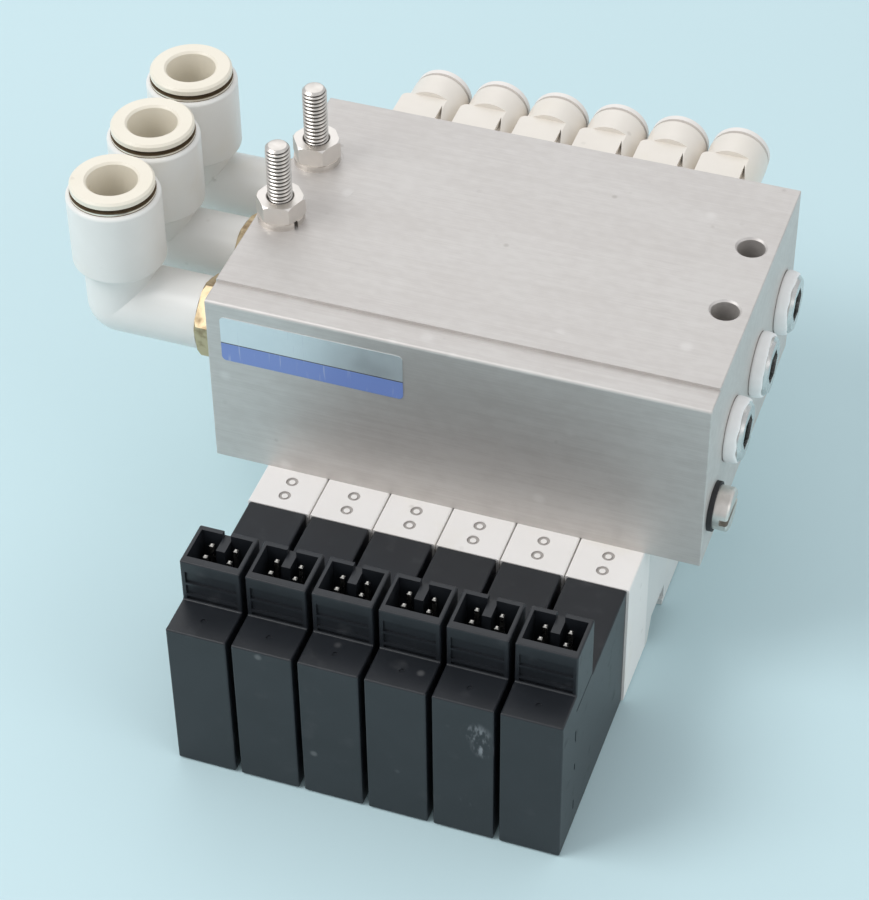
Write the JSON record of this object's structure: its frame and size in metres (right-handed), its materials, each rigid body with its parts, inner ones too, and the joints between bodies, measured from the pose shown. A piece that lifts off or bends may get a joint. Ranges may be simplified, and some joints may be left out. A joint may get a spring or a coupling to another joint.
{
  "type": "pneumatic valve manifold",
  "caption": "Aluminium air manifold block carrying a row of slim solenoid valves with plug-in coils, swivel tube elbows, push-in outlets and sealed end plugs.",
  "frame": {"origin": "on the mounting face, midway between the four fixing holes", "axes": "+X along the row of valves towards the end plugs, +Y towards the outlets, +Z out of the mounting face"},
  "size_m": [0.1124, 0.115, 0.0716],
  "materials": {
    "aluminium": "brushed",
    "zinc_steel": "zinc plated",
    "dark_steel": "plated, dark inside the socket",
    "tape": "soft white sealing tape",
    "black_rubber": "matte",
    "brass": "turned, slightly tarnished",
    "cream_plastic": "satin",
    "white_plastic": "satin",
    "grey_white_plastic": "satin",
    "elbow_plastic": "satin",
    "bright_collar": "bright plated",
    "black_plastic": "satin",
    "tinned_brass": "tinned",
    "copper_wire": "enamelled copper wire, sealed in",
    "magnet_steel": "ground",
    "spring_steel": "drawn",
    "spool_alloy": "polished"
  },
  "bodies": {
    "island": {"manifold_block": "aluminium", "mounting_screws": "zinc_steel", "screw_nuts": "zinc_steel", "spring_washers": "zinc_steel", "gallery_plugs": "dark_steel", "sealing_tape": "tape", "pilot_plug": "zinc_steel", "pilot_plug_gasket": "black_rubber", "elbow_stems": "brass", "elbow_stem_seals": "black_rubber", "outlet_fittings": "cream_plastic", "outlet_seals": "black_rubber", "valve_bodies": "grey_white_plastic", "pilot_blocks": "white_plastic", "valve_gaskets": "black_rubber", "valve_screws": "zinc_steel", "connector_pins": "tinned_brass", "windings": "copper_wire", "cores": "magnet_steel", "return_springs": "spring_steel", "plunger_springs": "spring_steel", "coil_1": "black_plastic", "coil_2": "black_plastic", "coil_3": "black_plastic", "coil_4": "black_plastic", "coil_5": "black_plastic", "coil_6": "black_plastic"},
    "elbow_1": {"elbow_body_1": "elbow_plastic", "elbow_collar_1": "bright_collar"},
    "elbow_release_1": {"elbow_ring_1": "cream_plastic"},
    "elbow_2": {"elbow_body_2": "elbow_plastic", "elbow_collar_2": "bright_collar"},
    "elbow_release_2": {"elbow_ring_2": "cream_plastic"},
    "elbow_3": {"elbow_body_3": "elbow_plastic", "elbow_collar_3": "bright_collar"},
    "elbow_release_3": {"elbow_ring_3": "cream_plastic"},
    "outlet_release_1": {"outlet_ring_1": "white_plastic"},
    "outlet_release_2": {"outlet_ring_2": "white_plastic"},
    "outlet_release_3": {"outlet_ring_3": "white_plastic"},
    "outlet_release_4": {"outlet_ring_4": "white_plastic"},
    "outlet_release_5": {"outlet_ring_5": "white_plastic"},
    "outlet_release_6": {"outlet_ring_6": "white_plastic"},
    "outlet_release_7": {"outlet_ring_7": "white_plastic"},
    "outlet_release_8": {"outlet_ring_8": "white_plastic"},
    "outlet_release_9": {"outlet_ring_9": "white_plastic"},
    "outlet_release_10": {"outlet_ring_10": "white_plastic"},
    "outlet_release_11": {"outlet_ring_11": "white_plastic"},
    "outlet_release_12": {"outlet_ring_12": "white_plastic"},
    "spool_1": {"spool_1": "spool_alloy"},
    "plunger_1": {"plunger_1": "magnet_steel"},
    "spool_2": {"spool_2": "spool_alloy"},
    "plunger_2": {"plunger_2": "magnet_steel"},
    "spool_3": {"spool_3": "spool_alloy"},
    "plunger_3": {"plunger_3": "magnet_steel"},
    "spool_4": {"spool_4": "spool_alloy"},
    "plunger_4": {"plunger_4": "magnet_steel"},
    "spool_5": {"spool_5": "spool_alloy"},
    "plunger_5": {"plunger_5": "magnet_steel"},
    "spool_6": {"spool_6": "spool_alloy"},
    "plunger_6": {"plunger_6": "magnet_steel"}
  },
  "joints": [
    {"name": "elbow_swivel_1", "type": "hinge", "parent": "island", "child": "elbow_1", "pos_m": [-0.06135, -0.016, -0.01625], "axis": [1, 0, 0], "range_deg": [0, 200]},
    {"name": "elbow_release_slide_1", "type": "slide", "parent": "elbow_1", "child": "elbow_release_1", "axis": [0, 0, 1], "range_m": [-0.0006, 0], "stiffness_N_per_m": 800},
    {"name": "elbow_swivel_2", "type": "hinge", "parent": "island", "child": "elbow_2", "pos_m": [-0.06135, 0, -0.01625], "axis": [1, 0, 0], "range_deg": [-1.8, 1.8]},
    {"name": "elbow_release_slide_2", "type": "slide", "parent": "elbow_2", "child": "elbow_release_2", "axis": [0, 0, 1], "range_m": [-0.0006, 0], "stiffness_N_per_m": 800},
    {"name": "elbow_swivel_3", "type": "hinge", "parent": "island", "child": "elbow_3", "pos_m": [-0.06135, 0.016, -0.01625], "axis": [1, 0, 0], "range_deg": [-200, 0]},
    {"name": "elbow_release_slide_3", "type": "slide", "parent": "elbow_3", "child": "elbow_release_3", "axis": [0, 0, 1], "range_m": [-0.0006, 0], "stiffness_N_per_m": 800},
    {"name": "outlet_release_slide_1", "type": "slide", "parent": "island", "child": "outlet_release_1", "axis": [0, 1, 0], "range_m": [-0.0004, 0], "stiffness_N_per_m": 500},
    {"name": "outlet_release_slide_2", "type": "slide", "parent": "island", "child": "outlet_release_2", "axis": [0, 1, 0], "range_m": [-0.0004, 0], "stiffness_N_per_m": 500},
    {"name": "outlet_release_slide_3", "type": "slide", "parent": "island", "child": "outlet_release_3", "axis": [0, 1, 0], "range_m": [-0.0004, 0], "stiffness_N_per_m": 500},
    {"name": "outlet_release_slide_4", "type": "slide", "parent": "island", "child": "outlet_release_4", "axis": [0, 1, 0], "range_m": [-0.0004, 0], "stiffness_N_per_m": 500},
    {"name": "outlet_release_slide_5", "type": "slide", "parent": "island", "child": "outlet_release_5", "axis": [0, 1, 0], "range_m": [-0.0004, 0], "stiffness_N_per_m": 500},
    {"name": "outlet_release_slide_6", "type": "slide", "parent": "island", "child": "outlet_release_6", "axis": [0, 1, 0], "range_m": [-0.0004, 0], "stiffness_N_per_m": 500},
    {"name": "outlet_release_slide_7", "type": "slide", "parent": "island", "child": "outlet_release_7", "axis": [0, 1, 0], "range_m": [-0.0004, 0], "stiffness_N_per_m": 500},
    {"name": "outlet_release_slide_8", "type": "slide", "parent": "island", "child": "outlet_release_8", "axis": [0, 1, 0], "range_m": [-0.0004, 0], "stiffness_N_per_m": 500},
    {"name": "outlet_release_slide_9", "type": "slide", "parent": "island", "child": "outlet_release_9", "axis": [0, 1, 0], "range_m": [-0.0004, 0], "stiffness_N_per_m": 500},
    {"name": "outlet_release_slide_10", "type": "slide", "parent": "island", "child": "outlet_release_10", "axis": [0, 1, 0], "range_m": [-0.0004, 0], "stiffness_N_per_m": 500},
    {"name": "outlet_release_slide_11", "type": "slide", "parent": "island", "child": "outlet_release_11", "axis": [0, 1, 0], "range_m": [-0.0004, 0], "stiffness_N_per_m": 500},
    {"name": "outlet_release_slide_12", "type": "slide", "parent": "island", "child": "outlet_release_12", "axis": [0, 1, 0], "range_m": [-0.0004, 0], "stiffness_N_per_m": 500},
    {"name": "spool_slide_1", "type": "slide", "parent": "island", "child": "spool_1", "axis": [0, 1, 0], "range_m": [0, 0.0025], "stiffness_N_per_m": 1000, "deforming": ["return_springs"]},
    {"name": "plunger_slide_1", "type": "slide", "parent": "island", "child": "plunger_1", "axis": [0, 1, 0], "range_m": [-0.0005, 0], "stiffness_N_per_m": 600, "deforming": ["plunger_springs"]},
    {"name": "spool_slide_2", "type": "slide", "parent": "island", "child": "spool_2", "axis": [0, 1, 0], "range_m": [0, 0.0025], "stiffness_N_per_m": 1000, "deforming": ["return_springs"]},
    {"name": "plunger_slide_2", "type": "slide", "parent": "island", "child": "plunger_2", "axis": [0, 1, 0], "range_m": [-0.0005, 0], "stiffness_N_per_m": 600, "deforming": ["plunger_springs"]},
    {"name": "spool_slide_3", "type": "slide", "parent": "island", "child": "spool_3", "axis": [0, 1, 0], "range_m": [0, 0.0025], "stiffness_N_per_m": 1000, "deforming": ["return_springs"]},
    {"name": "plunger_slide_3", "type": "slide", "parent": "island", "child": "plunger_3", "axis": [0, 1, 0], "range_m": [-0.0005, 0], "stiffness_N_per_m": 600, "deforming": ["plunger_springs"]},
    {"name": "spool_slide_4", "type": "slide", "parent": "island", "child": "spool_4", "axis": [0, 1, 0], "range_m": [0, 0.0025], "stiffness_N_per_m": 1000, "deforming": ["return_springs"]},
    {"name": "plunger_slide_4", "type": "slide", "parent": "island", "child": "plunger_4", "axis": [0, 1, 0], "range_m": [-0.0005, 0], "stiffness_N_per_m": 600, "deforming": ["plunger_springs"]},
    {"name": "spool_slide_5", "type": "slide", "parent": "island", "child": "spool_5", "axis": [0, 1, 0], "range_m": [0, 0.0025], "stiffness_N_per_m": 1000, "deforming": ["return_springs"]},
    {"name": "plunger_slide_5", "type": "slide", "parent": "island", "child": "plunger_5", "axis": [0, 1, 0], "range_m": [-0.0005, 0], "stiffness_N_per_m": 600, "deforming": ["plunger_springs"]},
    {"name": "spool_slide_6", "type": "slide", "parent": "island", "child": "spool_6", "axis": [0, 1, 0], "range_m": [0, 0.0025], "stiffness_N_per_m": 1000, "deforming": ["return_springs"]},
    {"name": "plunger_slide_6", "type": "slide", "parent": "island", "child": "plunger_6", "axis": [0, 1, 0], "range_m": [-0.0005, 0], "stiffness_N_per_m": 600, "deforming": ["plunger_springs"]}
  ]
}
